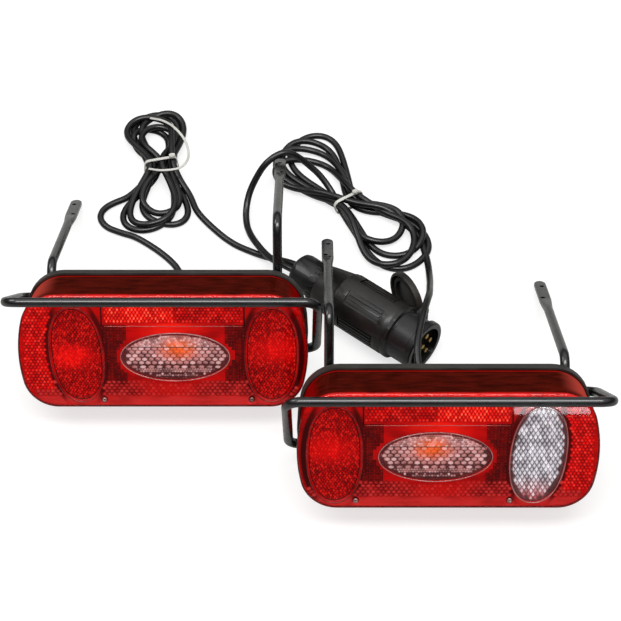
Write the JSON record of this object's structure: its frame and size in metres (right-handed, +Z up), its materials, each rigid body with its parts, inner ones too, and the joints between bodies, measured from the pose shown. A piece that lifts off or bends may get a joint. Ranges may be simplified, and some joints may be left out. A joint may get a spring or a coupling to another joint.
{
  "type": "trailer lighting set",
  "caption": "Two red rear lamps on bent bar brackets, joined by tied cables to a round plug in a short adapter with a sprung cover.",
  "frame": {"origin": "on the surface under the middle of the set's box, measured without the cables and the plug", "axes": "+X towards the right lamp, +Y to the rear, away from the lamp faces, +Z up"},
  "size_m": [0.4936, 0.4948, 0.1266],
  "materials": {
    "black_plastic": "satin moulded",
    "red_lens": "polished transparent",
    "reflex": "prismatic transparent",
    "clear_lens": "moulded optics",
    "white_plastic": "glossy reflector",
    "clear_glass": "clear",
    "amber_glass": "coated",
    "black_paint": "satin powder coat",
    "zinc_steel": "zinc plated",
    "brass": "plain",
    "rubber": "matte",
    "cable": "smooth sheath",
    "tie": "wire tie"
  },
  "bodies": {
    "set": {"right_base": "black_plastic", "right_seal": "rubber", "right_lens": "red_lens", "right_indicator_window": "clear_lens", "right_reflex_reflector": "reflex", "right_side_reflector": "reflex", "right_bulb_tray": "white_plastic", "right_bulb_holders": "zinc_steel", "right_clear_bulbs": "clear_glass", "right_amber_bulb": "amber_glass", "right_bulb_caps": "brass", "right_lens_screws": "zinc_steel", "right_grommet": "rubber", "right_guard_bar": "black_paint", "right_mounting_strip": "black_paint", "right_fixing_bolts": "zinc_steel", "right_fixing_nuts": "zinc_steel", "reversing_window": "clear_lens", "left_base": "black_plastic", "left_seal": "rubber", "left_lens": "red_lens", "left_indicator_window": "clear_lens", "left_reflex_reflector": "reflex", "left_side_reflector": "reflex", "left_bulb_tray": "white_plastic", "left_bulb_holders": "zinc_steel", "left_clear_bulbs": "clear_glass", "left_amber_bulb": "amber_glass", "left_bulb_caps": "brass", "left_lens_screws": "zinc_steel", "left_grommet": "rubber", "left_guard_bar": "black_paint", "left_mounting_strip": "black_paint", "left_fixing_bolts": "zinc_steel", "left_fixing_nuts": "zinc_steel", "gland_nut": "black_plastic", "cable_seal": "rubber", "knurled_ring": "black_plastic", "rear_body": "black_plastic", "grip_sleeve": "black_plastic", "plug_insert": "black_plastic", "plug_pins": "brass", "adapter_body": "black_plastic", "adapter_insert": "black_plastic", "adapter_pins": "brass", "hinge_pin": "zinc_steel", "hinge_spring": "zinc_steel", "left_cable_to_lamp": "cable", "left_cable_to_plug": "cable", "left_hank": "cable", "right_cable_to_lamp": "cable", "right_cable_to_plug": "cable", "right_hank": "cable", "left_tie": "tie", "right_tie": "tie"},
    "cover": {"adapter_cover": "black_plastic", "cover_seal": "rubber"}
  },
  "joints": [
    {"name": "cover_hinge", "type": "hinge", "parent": "set", "child": "cover", "pos_m": [0.10574, 0.0095, 0.0255], "axis": [0, 0, -1], "range_deg": [0, 12], "stiffness_Nm_per_rad": 0.01, "springref_deg": -110.01}
  ]
}
